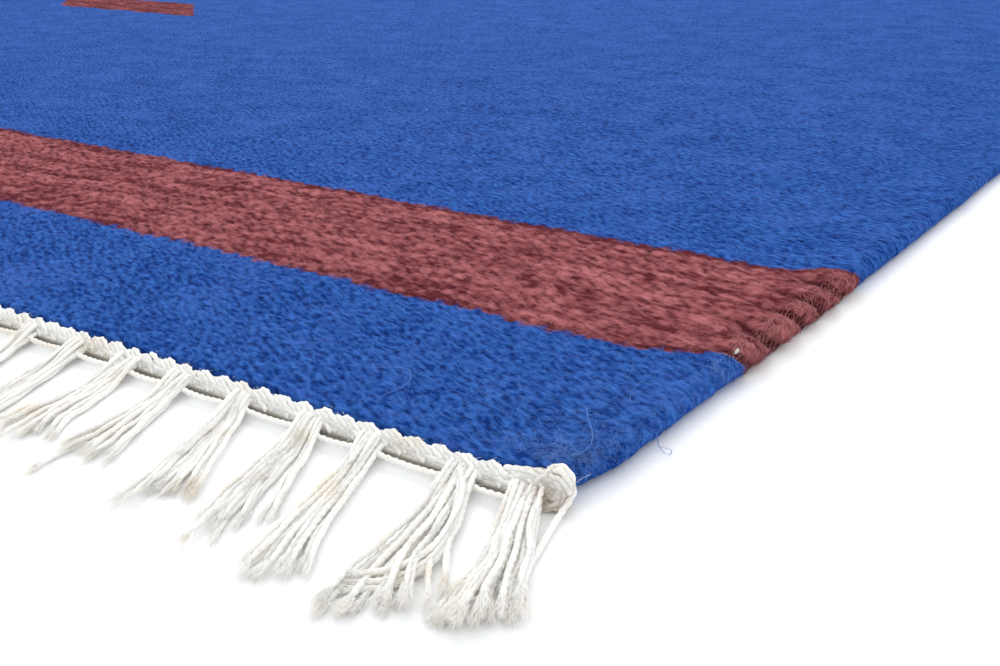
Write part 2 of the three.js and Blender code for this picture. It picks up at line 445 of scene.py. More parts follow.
def wool_colour(nodes, pale):
    """The wool's colour and its fine height, from the place on the cloth. The colour carries painted shade
    in the creases, the low spots and the coil slits. pale is how far it goes towards the paler colour of
    a single fibre, partly the fibre's own and partly a painted sheen of light shining through it."""
    place = nodes.node("ShaderNodeTexCoord", output="Object")
    x, y, z = nodes.split(place)
    stray_x, stray_y, _ = nodes.split(nodes.noise(place, STITCH_STRAY_SCALE, 2, output=1))
    x_in = x + (stray_x - 0.5) * STITCH_STRAY[0]
    y_in = y + (stray_y - 0.5) * STITCH_STRAY[1]

    flare = nodes.smooth(y.abs(), FLARE_FROM, FLARE_FROM + FLARE_LONG) * END_FLARE
    inset = flare + HALF_WIDE - x.abs()
    end = HALF_LONG - y_in.abs()
    bend = (1 - inset / BAND_BOW_FROM).atleast(0)
    out = end - bend * bend * BAND_BOW * (end / BAND_FROM_END).atmost(1)
    coarse = (out - BAND_FROM_END).atleast(0).atmost(BAND_WIDE)
    number = out / GRAIN_LONG + coarse * (1 / BAND_GRAIN_LONG - 1 / GRAIN_LONG)
    u = x_in / WARP_PITCH
    column = u.floor()
    s = u.fract() - 0.5
    turn = s.sign()

    def lens(s, column):
        odd = (column * 0.5).fract()
        t = number + odd + s * GRAIN_SLANT
        r = t.fract() - 0.5
        height = 1 - s * s / GRAIN_HALF_WIDE**2 - r * r / GRAIN_HALF_LONG**2
        return height, t.floor() - odd + 0.5

    own, own_row = lens(s, column)
    beside, beside_row = lens(s - turn, column + turn)
    swap = beside > own
    gap = own - beside
    crown = (own + beside + (gap * gap + SOFT_CREASE).power(0.5)) * 0.5
    row = own_row + (beside_row - own_row) * swap
    grain = column + turn * swap

    patch = nodes.noise(place, PATCH_SCALE, 4)
    streak = nodes.stretched(place, STREAK_SCALE, 2)
    fine_streak = nodes.stretched(place, FINE_STREAK_SCALE, 1)
    fibre = nodes.stretched(place, FIBRE_SCALE, 1)
    wisp = nodes.stretched(place, WISP_SCALE, 1)
    coarse_band = (coarse * (BAND_WIDE - coarse)).sign()
    shrink = 1 - coarse_band * DASH_COARSE
    cos, sin = DASH_LEAN
    slant = {
        0: (x * cos - y * sin) * shrink * DASH_SCALE[0],
        1: (x * sin + y * cos) * shrink * DASH_SCALE[1],
        2: z * DASH_SCALE[2],
    }
    dash = nodes.noise(nodes.node("ShaderNodeCombineXYZ", slant), 1, 1)
    clump = nodes.noise(place, CLUMP_SCALE, 1)
    felt_a, felt_b, tint = nodes.split(nodes.noise(place, FELT_SCALE, 1, output=1))

    first_row = BAND_FROM_END / GRAIN_LONG
    last_row = first_row + BAND_WIDE / BAND_GRAIN_LONG
    ragged = (clump - 0.5) * 0.8 + (wisp - 0.5) * 0.25
    tooth = number + (column * 0.5).fract() * 0.45 + ragged - 0.1
    begun = nodes.smooth(tooth, first_row - TOOTH_SOFT, first_row + TOOTH_SOFT)
    band = begun * nodes.smooth(tooth, last_row + TOOTH_SOFT, last_row - TOOTH_SOFT)
    outer_row = nodes.smooth(tooth, first_row + 1.5, first_row + 0.3)
    outer_row = outer_row + nodes.smooth(tooth, last_row - 1.3, last_row - 0.3)
    facing = y.sign()
    bar_y = y_in * facing * -1
    bar_x = x_in * facing * -1 + (bar_y - BAR_FROM) * BAR_LEAN
    bar = (bar_y > BAR_FROM) * (bar_y < BAR_FROM + BAR_WIDE)
    bar = bar * (bar_x > BAR_LEFT) * (bar_x < BAR_RIGHT)
    red = (band + bar).atmost(1)

    key = nodes.node("ShaderNodeCombineXYZ", {0: grain, 1: row, 2: facing})
    grain_tone = nodes.node("ShaderNodeTexWhiteNoise", {"Vector": key})
    fine = (dash - 0.5) * 3.6 + (clump - 0.5) * 1.3 + (fibre - 0.5) * 0.5 + (wisp - 0.5) * 0.5
    heather = patch - 0.5 + fine
    streaks = (streak - 0.5) * 3.4 + (fine_streak - 0.5) * 1.4
    blue_lift = heather + (grain_tone - 0.5) * 0.35 + (streak - 0.5) * 0.6
    red_lift = heather * 0.8 + (grain_tone - 0.5) * 0.9 + streaks - outer_row * 0.6
    blue = nodes.mix(blue_lift * 0.5 + 0.40, (*BLUE, 1), (*BLUE_PALE, 1))
    rust = nodes.mix(red_lift * 0.45 + 0.40, (*RED, 1), (*RED_PALE, 1))
    violet = nodes.smooth(patch + (tint - 0.5) * 0.7, 0.47, 0.75)
    blue = nodes.mix(violet * 0.5, blue, (*BLUE_VIOLET, 1))
    # Painted shade: the creases between the grains and the felt's low spots are darkened, as shade falls
    # there.
    lit = nodes.smooth(crown + fine * 0.3, -0.25, 0.75)
    open_crease = nodes.smooth(felt_a, 0.32, 0.66)
    hollow = nodes.smooth(fine + (felt_b - 0.5) * 1.4, -0.2, -1.1)

    rim = nodes.smooth(inset, RIM_PLAIN, 0.0)
    coil_at = (y + (z - inset * COIL_TURN_IN) * COIL_SLANT) * x.sign() / COIL_PITCH
    coil_at = coil_at + (y / COIL_STIR_LONG).sine() * COIL_STIR + (felt_a - 0.5) * 0.2
    # The slits between the coils: sunk in the bump, and darkened with painted shade.
    slit = (coil_at * math.pi).sine().abs().power(7)
    slit = slit * nodes.smooth(inset, COIL_DEEP * 0.8, 0.002) * band
    crease = (1 - lit) * (open_crease * 0.8 + 0.2) * (1 - rim * 0.5)
    # The darkening: painted shade in the creases, low spots and coil slits, and a little for the bands'
    # darker outer rows.
    shade_and_dark_rows = crease * 0.6 + hollow * 0.3 + outer_row * band * 0.15 + slit * 1.1
    shade_and_dark_rows = shade_and_dark_rows.atmost(0.92) * (1 - pale)
    blue = nodes.mix(shade_and_dark_rows, blue, (*BLUE_SHADE, 1))
    rust = nodes.mix(shade_and_dark_rows, rust, (*RED_SHADE_AND_DARK_ROWS, 1))
    # Loose hairs go pale: partly a thin fibre's own paler colour, partly a painted sheen.
    blue = nodes.mix(pale, blue, (*BLUE_FIBRE, 1))
    rust = nodes.mix(pale, rust, (*RED_FIBRE, 1))
    fluff = dash * 1.3 + fibre * 0.5 + wisp * 0.4 + clump * 0.5
    height = crown * (1 - rim * 0.7) * 0.9 + fluff - slit * 1.2
    return nodes.mix(red, blue, rust), height


def wool_material(name, pale):
    nodes = Nodes(name)
    colour, height = wool_colour(nodes, pale)
    inputs = {"Base Color": colour, "Roughness": 1.0, "Specular IOR Level": 0.05}
    if pale == 0:
        bump = {"Height": height, "Strength": 0.9, "Distance": WOOL_BUMP}
        inputs["Normal"] = nodes.node("ShaderNodeBump", bump)
    return nodes.finish(nodes.node("ShaderNodeBsdfPrincipled", inputs))


cloth_mesh = bpy.data.meshes.new("kilim_cloth")
cloth_mesh.from_pydata(
    np.stack(cloth_points, axis=-1).reshape(-1, 3).tolist(),
    [],
    cloth_faces.tolist() + [near_end, far_end],
)
cloth_mesh.materials.append(wool_material("dyed_wool", 0))
cloth_mesh.polygons.foreach_set("use_smooth", np.full(len(cloth_mesh.polygons), True))
cloth_mesh.update()
cloth = bpy.data.objects.new("kilim_cloth", cloth_mesh)
bpy.context.collection.objects.link(cloth)
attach(cloth, "root")
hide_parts("woven_cloth")

# The loose wool: fine hairs that stand off the weave all over, longer at the selvedges, and a few
# long curled ones lying on the cloth. They are what makes the surface look soft.
LOOSE_PALE = 0.6  # how far single hairs go towards the paler colour of a thin fibre: partly its own, partly a painted sheen of light shining through it
HAIR_COUNT = 11000
HAIR_LONG = (0.0012, 0.0045)
HAIR_WIDE = 0.000075
HAIR_REACH = 0.75  # how far from the photographed corner hairs are laid, most of them near it
TAPER = 0.35  # how much of its width a fibre keeps at its tip
RIM_HAIR_COUNT = 4000
RIM_HAIR_LONG = (0.0006, 0.0020)
RIM_HAIR_REACH = 1.2
CURL_COUNT = 520  # curled fibres of the bands' yarn, where it turns round the selvedge
CURL_LONG = (0.0020, 0.0048)
CURL_WIDE = 0.00015
CURL_STEPS = 7
STRAY_HAIR_COUNT = 60
STRAY_HAIR_LONG = (0.006, 0.015)
STRAY_HAIR_REACH = 0.5
STRAY_HAIR_STEPS = 9
STRAY_HAIR_RISE = (0.0002, 0.0022)
STRAY_WIDE = 0.00016
# Three long hairs that catch the eye, in millimetres from the selvedge, out of the end and up.
STRAY_CURLS = [
    [(46.2, -8.3, 5.2), (45.4, -14.7, 5.6), (47.2, -18.8, 6), (50.7, -21.1, 6), (57.7, -18.6, 5.4)],
    [(-4.5, -30, 3.2), (-7.5, -25, 2.6), (-10, -24, 1.6), (-9, -27.5, 1), (-5.8, -28, 0.6)],
    [(9, -26, 5.8), (5, -20, 6.6), (1, -15, 6.4), (-1, -10, 6.2), (0, -6, 6.0)],
]


def curve(points, steps):
    """A smooth curve through a few points."""
    points = np.asarray(points, float)
    n = len(points)
    padded = np.vstack([2 * points[0] - points[1], points, 2 * points[-1] - points[-2]])
    made = []
    for s in np.linspace(0, n - 1, steps):
        k = min(int(s), n - 2)
        t = s - k
        a, b, c, d = padded[k : k + 4]
        square = 2 * a - 5 * b + 4 * c - d
        cube = 3 * b - a - 3 * c + d
        made.append(0.5 * ((2 * b) + (c - a) * t + square * t**2 + cube * t**3))
    return np.array(made)


def end_place(across, out, up):
    """A place at the near end, from millimetres across from the selvedge, out of the end and up."""
    x = HALF_WIDE - np.asarray(across) / 1000
    y = -HALF_LONG - np.asarray(out) / 1000
    return np.stack([x, y, np.asarray(up) / 1000], axis=-1)


class ShapeNodes(Nodes):
    """A Geometry Nodes tree that sweeps paths into a mesh. Its sizes are its named inputs."""

    def __init__(self, name, **sizes):
        self.tree = bpy.data.node_groups.new(name, "GeometryNodeTree")
        face = self.tree.interface
        face.new_socket("Paths", in_out="INPUT", socket_type="NodeSocketGeometry")
        face.new_socket("Made", in_out="OUTPUT", socket_type="NodeSocketGeometry")
        for key, kind in sizes.items():
            face.new_socket(key, in_out="INPUT", socket_type=kind)
        group = self.tree.nodes.new("NodeGroupInput")
        self.given = {socket.name: Wire(self, socket) for socket in group.outputs if socket.name}
        self.out = self.tree.nodes.new("NodeGroupOutput")

    def value(self, name, kind="FLOAT"):
        """What each point of the paths carries under this name."""
        return self.node("GeometryNodeInputNamedAttribute", {"Name": name}, data_type=kind)

    def finish(self, shape):
        shape = self.node("GeometryNodeSetShadeSmooth", {0: shape})
        shape = self.node("GeometryNodeRealizeInstances", {0: shape})
        shape = self.node("GeometryNodeSetMaterial", {0: shape, "Material": self.given["Material"]})
        self.tree.links.new(shape.socket, self.out.inputs[0])
        return self.tree


class Strands:
    """Gathers paths for a tree to sweep. Each point carries its radius, its twist and its ply depth."""

    def __init__(self):
        self.points, self.edges, self.count = [], [], 0
        self.carried = {"radius": [], "twist": [], "plies": []}

    def add(self, paths, radius, turn=math.inf, plies=0.0, phase=0.0):
        paths = np.asarray(paths, float)
        fibres, steps = paths.shape[:2]
        run = np.linalg.norm(np.diff(paths, axis=1), axis=2).cumsum(axis=1)
        run = np.pad(run, ((0, 0), (1, 0)))
        k = self.count + np.arange(fibres * steps).reshape(fibres, steps)
        self.points.append(paths.reshape(-1, 3))
        self.edges.append(np.stack([k[:, :-1], k[:, 1:]], axis=-1).reshape(-1, 2))
        carried = {"radius": radius, "twist": phase + 2 * math.pi * run / turn, "plies": plies}
        for key, values in carried.items():
            self.carried[key].append(np.broadcast_to(values, (fibres, steps)).ravel())
        self.count += fibres * steps

    def piece(self, name, tree, material, **sizes):
        """Sweeps the paths and leaves a plain mesh object."""
        paths = bpy.data.meshes.new(name + "_paths")
        edges = np.concatenate(self.edges).tolist()
        paths.from_pydata(np.concatenate(self.points).tolist(), edges, [])
        for key, values in self.carried.items():
            attribute = paths.attributes.new(key, "FLOAT", "POINT")
            attribute.data.foreach_set("value", np.concatenate(values))
        piece = bpy.data.objects.new(name, paths)
        bpy.context.collection.objects.link(piece)
        sweep = piece.modifiers.new("sweep", "NODES")
        sweep.node_group = tree
        for socket in tree.interface.items_tree:
            if socket.name in sizes:
                sweep[socket.identifier] = sizes[socket.name]
            if socket.name == "Material":
                sweep[socket.identifier] = material
        made = piece.evaluated_get(bpy.context.evaluated_depsgraph_get())
        mesh = bpy.data.meshes.new_from_object(made)
        piece.modifiers.clear()
        piece.data = mesh
        mesh.name = name
        for key in ("radius", "twist", "plies", "axis", "round"):
            if key in mesh.attributes:
                mesh.attributes.remove(mesh.attributes[key])
        return piece


def fibre_tree():
    """A flat strip along each path, lying level."""
    nodes = ShapeNodes("flat_fibre", Width="NodeSocketFloat", Material="NodeSocketMaterial")
    paths = nodes.node("GeometryNodeMeshToCurve", {0: nodes.given["Paths"]})
    paths = nodes.node("GeometryNodeSetCurveNormal", {"Curve": paths}, mode="Z_UP")
    flat = nodes.node("GeometryNodeCurvePrimitiveLine", {"Start": (-0.5, 0, 0), "End": (0.5, 0, 0)})
    wide = nodes.value("radius") * nodes.given["Width"]
    strip = {"Curve": paths, "Profile Curve": flat, "Scale": wide}
    return nodes.finish(nodes.node("GeometryNodeCurveToMesh", strip))


def top_place(x, y):
    """The place on the cloth's top that was at x, y in its plain section."""
    rim = np.clip((np.abs(x) - HALF_WIDE + EDGE_ROUND) / EDGE_ROUND, 0, 0.98)
    fade = smoothstep((HALF_WIDE - np.abs(x)) / EDGE_FADE)
    z = EDGE_THICK + (FIELD_THICK - EDGE_THICK) * fade
    z = z * (0.5 + 0.5 * np.sqrt(1 - rim**2))
    return cloth_surface(x, y, z)


def rim_place(y, angle, proud):
    """Places on the right selvedge's rounding, and the way out from it."""
    x = HALF_WIDE - EDGE_ROUND + (EDGE_ROUND + proud) * np.cos(angle)
    z = EDGE_THICK / 2 * (1 + np.sin(angle)) + proud * np.sin(angle)
    outward = np.stack([np.cos(angle), 0 * angle, np.sin(angle)], axis=-1)
    return (*cloth_surface(x, y, z), outward)


def fan_place(reach, turn, in_x):
    """Places on the top, from their distance and direction from the photographed corner."""
    return top_place(HALF_WIDE - in_x + reach * np.cos(turn), -HALF_LONG + 0.003 + reach * np.sin(turn))


def hairs(rng, x, y, z, outward, long, steps=4):
    """Curved fibres from given roots, leaning in random directions and a little outward."""
    n = len(x)
    turn = rng.uniform(0, 2 * math.pi, n)
    rise = rng.uniform(0.05, 0.75, n) ** 1.4
    length = rng.uniform(*long, n)
    head = np.stack([np.cos(turn), np.sin(turn), rise], axis=-1) + outward
    head /= np.linalg.norm(head, axis=-1, keepdims=True)
    bend = rng.normal(0, 0.75, (n, 3))
    bend[:, 2] = -rng.uniform(0.1, 1.0, n)
    s = np.linspace(0, 1, steps)[None, :, None]
    grown = head[:, None, :] * s + 0.5 * bend[:, None, :] * s * s
    path = np.stack([x, y, z], axis=-1)[:, None, :] + length[:, None, None] * grown
    path[..., 2] = np.maximum(path[..., 2], 0.0002)
    return path


rng = np.random.default_rng(11)
fuzz = Strands()
tapered = HAIR_WIDE * np.linspace(1, TAPER, 4)
reach = 0.004 + HAIR_REACH * rng.uniform(0, 1, HAIR_COUNT) ** 1.6
x, y, z = fan_place(reach, np.radians(rng.uniform(90, 180, HAIR_COUNT)), 0.001)
fuzz.add(hairs(rng, x, y, z - 0.0001, 0, HAIR_LONG), tapered)

y_rim = -HALF_LONG + 0.001 + RIM_HAIR_REACH * rng.uniform(0, 1, RIM_HAIR_COUNT) ** 2.4
x, y, z, outward = rim_place(y_rim, rng.uniform(0.1, 1.4, RIM_HAIR_COUNT), -0.0001)
fuzz.add(hairs(rng, x, y, z, outward * 0.35, RIM_HAIR_LONG), tapered)

# The curls run round the rim, up over it and along it.
y_rim = -HALF_LONG + BAND_FROM_END - 0.004 + (BAND_WIDE + 0.003) * rng.uniform(0, 1, CURL_COUNT)
angle = rng.uniform(-0.5, 1.5, CURL_COUNT)
long = rng.uniform(*CURL_LONG, CURL_COUNT)
turn = rng.normal(0.5, 0.7, CURL_COUNT)
bend = rng.normal(0, 1.6, CURL_COUNT)
curls = []
for t in np.linspace(0, 1, CURL_STEPS):
    way = turn + bend * t
    x, y, z, _ = rim_place(
        y_rim + long * t * np.sin(way),
        angle + long * t * np.cos(way) / EDGE_ROUND,
        0.0001 + 0.0005 * math.sin(math.pi * t) * rng.uniform(0.2, 1, CURL_COUNT),
    )
    curls.append(np.stack([x, y, z], axis=-1))
fuzz.add(np.stack(curls, axis=1), CURL_WIDE * np.linspace(1, TAPER, CURL_STEPS))

# The stray hairs lie along the top and rise a little towards their tips.
reach = 0.02 + STRAY_HAIR_REACH * rng.uniform(0, 1, STRAY_HAIR_COUNT) ** 1.7
x, y, z = fan_place(reach, np.radians(rng.uniform(92, 178, STRAY_HAIR_COUNT)), 0.003)
stray = hairs(rng, x, y, z, 0, STRAY_HAIR_LONG, steps=STRAY_HAIR_STEPS)
rise = rng.uniform(*STRAY_HAIR_RISE, STRAY_HAIR_COUNT)[:, None]
stray[..., 2] = z[:, None] + 0.0001 + np.linspace(0, 1, STRAY_HAIR_STEPS) * rise
fuzz.add(stray, HAIR_WIDE)
for points in STRAY_CURLS:
    fuzz.add(curve(end_place(*np.array(points).T), 16)[None], STRAY_WIDE)

flat_fibre = fibre_tree()
loose_wool = wool_material("loose_wool", LOOSE_PALE)
wool_fuzz = fuzz.piece("wool_fuzz", flat_fibre, loose_wool, Width=1.0)
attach(wool_fuzz, "root")

# The cut warp end: one of the cloth's own warps, cream two-ply cotton. It stands out of the selvedge
# where the blue wool gives way to the red-brown, and is held by the weave alone.

# Cream yarns are placed in millimetres: across from the photographed selvedge, out of the end, and up.
WARP_END = [(-1.5, -72.0, 4.6), (-1.9, -72.3, 5.2), (-2.2, -72.6, 5.5)]
WARP_END_RADIUS = 0.55
YARN_SIDES = 8
PLY_TURN = 4.6
CREAM = (0.86, 0.845, 0.805)
CREAM_SHADE = (0.70, 0.61, 0.49)
UNDER_BRAID_SHADE = (0.17, 0.15, 0.11)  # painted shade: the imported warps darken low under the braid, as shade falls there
UNDER_BRAID_UP = (0.0020, 0.0009)
UNDER_BRAID_OUT = (0.0052, 0.0044)
TAN = (0.40, 0.29, 0.20)
KNOT_STAIN_AT = (0.6112, -0.9182, 0.0012)  # the underside of the photographed knot is darker
KNOT_STAIN_WIDE = 0.0062
STAIN_SCALE = 70
COTTON_FIBRE_SCALE = 2200
SPECK_SCALE = 1100
COTTON_BUMP = 0.0004


class Yarns(Strands):
    """Gathers two-ply yarns, whose section is two lobes that turn along the path."""

    def add(self, path, radius, turn=PLY_TURN, plies=0.2, phase=0.0):
        super().add(path[None], radius / 1000, turn / 1000, plies, phase)


def yarn_tree():
    """A tube along each path, with its two plies turning round it and its ends closed."""
    nodes = ShapeNodes("plied_yarn", Sides="NodeSocketInt", Material="NodeSocketMaterial")
    place = nodes.node("GeometryNodeInputPosition")

    def stored(shape, name, value, kind):
        inputs = {"Geometry": shape, "Name": name, "Value": value}
        return nodes.node("GeometryNodeStoreNamedAttribute", inputs, data_type=kind, domain="POINT")

    paths = stored(nodes.given["Paths"], "axis", place, "FLOAT_VECTOR")
    paths = nodes.node("GeometryNodeMeshToCurve", {0: paths})
    circle = {"Resolution": nodes.given["Sides"], "Radius": 1}
    circle = nodes.node("GeometryNodeCurvePrimitiveCircle", circle)
    around = nodes.node("GeometryNodeSplineParameter") * (2 * math.pi)
    section = stored(circle, "round", around, "FLOAT")
    tube = {"Curve": paths, "Profile Curve": section, "Scale": nodes.value("radius"), "Fill Caps": True}
    tube = nodes.node("GeometryNodeCurveToMesh", tube)
    axis = nodes.value("axis", "FLOAT_VECTOR")
    plies = nodes.value("plies")
    turned = (nodes.value("round") - nodes.value("twist")) * 2 + math.pi / 2
    lobes = turned.sine() * plies + 1 - plies
    off = nodes.node("ShaderNodeVectorMath", {0: place, 1: axis}, operation="SUBTRACT")
    off = nodes.node("ShaderNodeVectorMath", {0: off, "Scale": lobes}, operation="SCALE")
    there = nodes.node("ShaderNodeVectorMath", {0: axis, 1: off}, operation="ADD")
    return nodes.finish(nodes.node("GeometryNodeSetPosition", {0: tube, "Position": there}))


def cotton_material(name, cream, bumpy):
    """Soft cotton that lets some light through, with a faint painted glow of its own, stained here and
    there and under the knot, and darkened with painted shade low under the braid.
    """
    nodes = Nodes(name)
    cream = (*cream, 1)
    place = nodes.node("ShaderNodeTexCoord", output="Object")
    to_knot = {0: place, 1: KNOT_STAIN_AT}
    to_knot = nodes.node("ShaderNodeVectorMath", to_knot, output=1, operation="DISTANCE")
    stain = nodes.noise(place, STAIN_SCALE, 3)
    fibre = nodes.noise(place, COTTON_FIBRE_SCALE, 2)
    speck = nodes.noise(place, SPECK_SCALE, 1)
    tone = nodes.smooth(stain + (fibre - 0.5) * 0.3, 0.52, 0.72) * 0.7
    tone = tone + nodes.smooth(speck, 0.50, 0.75) * 0.25
    colour = nodes.mix(tone, cream, (*CREAM_SHADE, 1))
    _, y, z = nodes.split(place)
    # Painted shade: cotton lying low under the braid is darkened, as shade falls there.
    shaded_from, shaded_to = UNDER_BRAID_OUT
    under = nodes.smooth(y.abs(), HALF_LONG + shaded_from, HALF_LONG + shaded_to)
    under = nodes.smooth(z, *UNDER_BRAID_UP) * under
    colour = nodes.mix(under, colour, (*UNDER_BRAID_SHADE, 1))
    colour = nodes.mix(nodes.smooth(to_knot, KNOT_STAIN_WIDE, 0.001) * 0.75, colour, (*TAN, 1))
    inputs = {
        "Base Color": colour,
        "Roughness": 0.9,
        "Specular IOR Level": 0.15,
        "Subsurface Weight": 0.5,
        "Subsurface Radius": (1.0, 0.9, 0.8),
        "Subsurface Scale": 0.0016,
        # Painted glow: the cotton gives off a little light of its own, which lightens its shaded crevices.
        "Emission Color": cream,
        "Emission Strength": 0.06,
    }
    if bumpy:
        bump = {"Height": fibre + speck, "Strength": 0.5, "Distance": COTTON_BUMP}
        inputs["Normal"] = nodes.node("ShaderNodeBump", bump)
    return nodes.finish(nodes.node("ShaderNodeBsdfPrincipled", inputs))


plied_yarn = yarn_tree()
cotton = cotton_material("cream_yarn", CREAM, True)
warp_end = Yarns()
warp_end.add(curve(end_place(*np.array(WARP_END).T), 10), WARP_END_RADIUS)
warp_end = warp_end.piece("warp_end", plied_yarn, cotton, Sides=YARN_SIDES)
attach(warp_end, "root")

# The end finish: cream two-ply cotton, the warps' own ends. They are looped into a braid that locks
# the last weft, gathered under a thin cord at the necks, and hang out as tassels of ten to twenty yarns.
# Each end is one made thing.
END_WIDE = 2000 * HALF_WIDE
YARN = 0.61  # the radius of one plied yarn
YARN_UNEVEN = (0.85, 1.12)
TASSEL_PLIES = 0.125  # how deep the groove between two plies is, as a share of the radius
BRAID_PLIES = 0.17
CORE_PLIES = 0.05
TASSEL_COUNT = 68
ROOT_OUT = 3.8
ROOT_UP = (1.7, 3.7)
# The tassels by the photographed corner, each from left to right as seen from outside: where its root
# and its tips lie across, how far out its side yarns reach and how much further its middle ones do.
CORNER_TASSELS = [
    dict(root=(5.8, -0.2), tip=(-6.6, -16.2), reach=(40.4, 31.0), mid=2.6, yarns=20),
    dict(root=(19.4, 14.0), tip=(11.0, -2.9), reach=(49.5, 36.2), mid=2.0, yarns=14),
    dict(root=(41.0, 35.8), tip=(28.7, 18.1), reach=(47.1, 40.5), mid=2.0, yarns=14),
    dict(root=(56.6, 51.6), tip=(43.6, 35.5), reach=(42.0, 32.8), mid=1.5, yarns=14),
    dict(root=(76.4, 71.6), tip=(62.2, 53.4), reach=(42.6, 34.5), mid=0.5, yarns=14),
    dict(root=(94.4, 89.6), tip=(88.0, 76.4), reach=(36.0, 34.2), mid=3.5, yarns=12),
    dict(root=(112.0, 106.4), tip=(107.0, 94.0), reach=(38.0, 35.0), mid=1.5, yarns=12),
]
# The rest of the tassels follow a rule, and lean and reach a little unevenly.
LAST_ROOT_IN = 4  # how far the last root lies from the other selvedge
ROOT_STIR = 1.1
REST_ROOT = 2.5
LEAN = 20  # in degrees
LEAN_STIR = 5
LEAN_FROM = 4.2
REACH = 41
REACH_STIR = 3
REACH_FALL = 4
FAN = 5.2
FAN_STIR = 1.2
REST_MID = 1.5
REST_YARNS = 10
# How finely tassels are laid: up to which one from the corner, the steps along a yarn and the fibres in
# the brush at its tip. Past FINE_TASSELS, and at the far end, all are coarse.
FINE_TASSELS = 13
FINENESS = [(2, 72, 90), (3, 72, 45), (7, 30, 45), (FINE_TASSELS, 20, 30)]
COARSE = (8, 0)
# The first two tassels are thick and even, and the others lie in two layers and stray more: how many
# layers and how far one rises over another, and how far single tips stray outwards and sideways.
LAYERS = {0: (4, 0.9), 1: (3, 1.0)}
REST_LAYERS = (2, 1.1)
CORNER_STRAY = (1.4, 0.7)
REST_STRAY = (2.4, 1.2)
# The brushes' fibres and the fluff are in metres, as the wool's hairs are.
BRUSH_FIBRE = 0.00014
COARSE_BRUSH = 5
COARSE_BRUSH_FIBRE = 0.0004
BRUSH_STEPS = 3
FLUFF_COUNT = 44
FLUFF_LONG = (0.0006, 0.0022)
CREAM_FLUFF = (0.90, 0.885, 0.85)


def uneven(i, kind):
    """An unevenness from -1 to 1, the same each time."""
    return 0.6 * math.sin(2.4 * i + 1.7 * kind) + 0.4 * math.sin(5.3 * i + 0.9 * kind + 1)


def tassel_rows():
    """Every tassel of the near end, from the photographed corner, as in the part's own solids."""
    rows = list(CORNER_TASSELS)
    start = sum(rows[-1]["root"]) / 2
    rest = TASSEL_COUNT - len(rows)
    for k in range(1, rest + 1):
        at = start + (END_WIDE - LAST_ROOT_IN - start) * k / rest
        if k < rest:
            at += ROOT_STIR * uneven(k, 1)
        reach = REACH + REACH_STIR * uneven(k, 3)
        lean = math.tan(math.radians(LEAN + LEAN_STIR * uneven(k, 2)))
        tip = at - lean * (reach - LEAN_FROM)
        fan = FAN + FAN_STIR * uneven(k, 5)
        rows.append(
            dict(
                root=(at + REST_ROOT, at - REST_ROOT),
                tip=(tip + fan, tip - fan),
                reach=(reach, reach - REACH_FALL),
                mid=REST_MID,
                yarns=REST_YARNS,
            )
        )
    return rows


def fray(frays, path, fibres, rng):
    """The untwisted brush at a yarn's tip, and the fluff along it. No fibres gives a coarse brush."""
    count = fibres or COARSE_BRUSH
    wide = BRUSH_FIBRE if fibres else COARSE_BRUSH_FIBRE
    head = path[-1] - path[-2 - len(path) // 12]
    head /= np.linalg.norm(head)
    t = np.linspace(0, 1, BRUSH_STEPS)[None, :, None]
    spread = head + rng.normal(0, 0.10, (count, 3))
    back = rng.uniform(0.0006, 0.0030, (count, 1))
    length = back[..., None] + rng.uniform(0.0008, 0.0026, (count, 1, 1))
    start = path[-1] - head * back + rng.normal(0, 0.00030, (count, 3))
    bend = rng.normal(0, 0.10, (count, 1, 3))
    tuft = start[:, None, :] + length * (spread[:, None, :] * t + bend * t * t)
    tuft[..., 2] = np.maximum(tuft[..., 2], 0.0001)
    frays.add(tuft, wide * np.linspace(1, TAPER, BRUSH_STEPS))
    if fibres:
        pick = rng.integers(2, len(path) - 1, FLUFF_COUNT)
        fluff(frays, path[pick], 0.0005, FLUFF_LONG, rng)


def fluff(frays, places, off, long, rng):
    """Short fibres that stand off a yarn at some places along it."""
    x, y, z = (places + rng.normal(0, off, (len(places), 3))).T
    frays.add(hairs(rng, x, y, z, 0, long), HAIR_WIDE)


def fineness(k, fine_tassels):
    """The steps along the yarns of tassel k, and the fibres in the brush at each tip."""
    for stop, steps, fibres in FINENESS:
        if k < min(stop, fine_tassels):
            return steps, fibres
    return COARSE


def swing(s, turns, rng):
    """A sway from side to side along a yarn, begun anywhere."""
    return np.sin(2 * math.pi * (s * turns + rng.uniform(0, 1)))


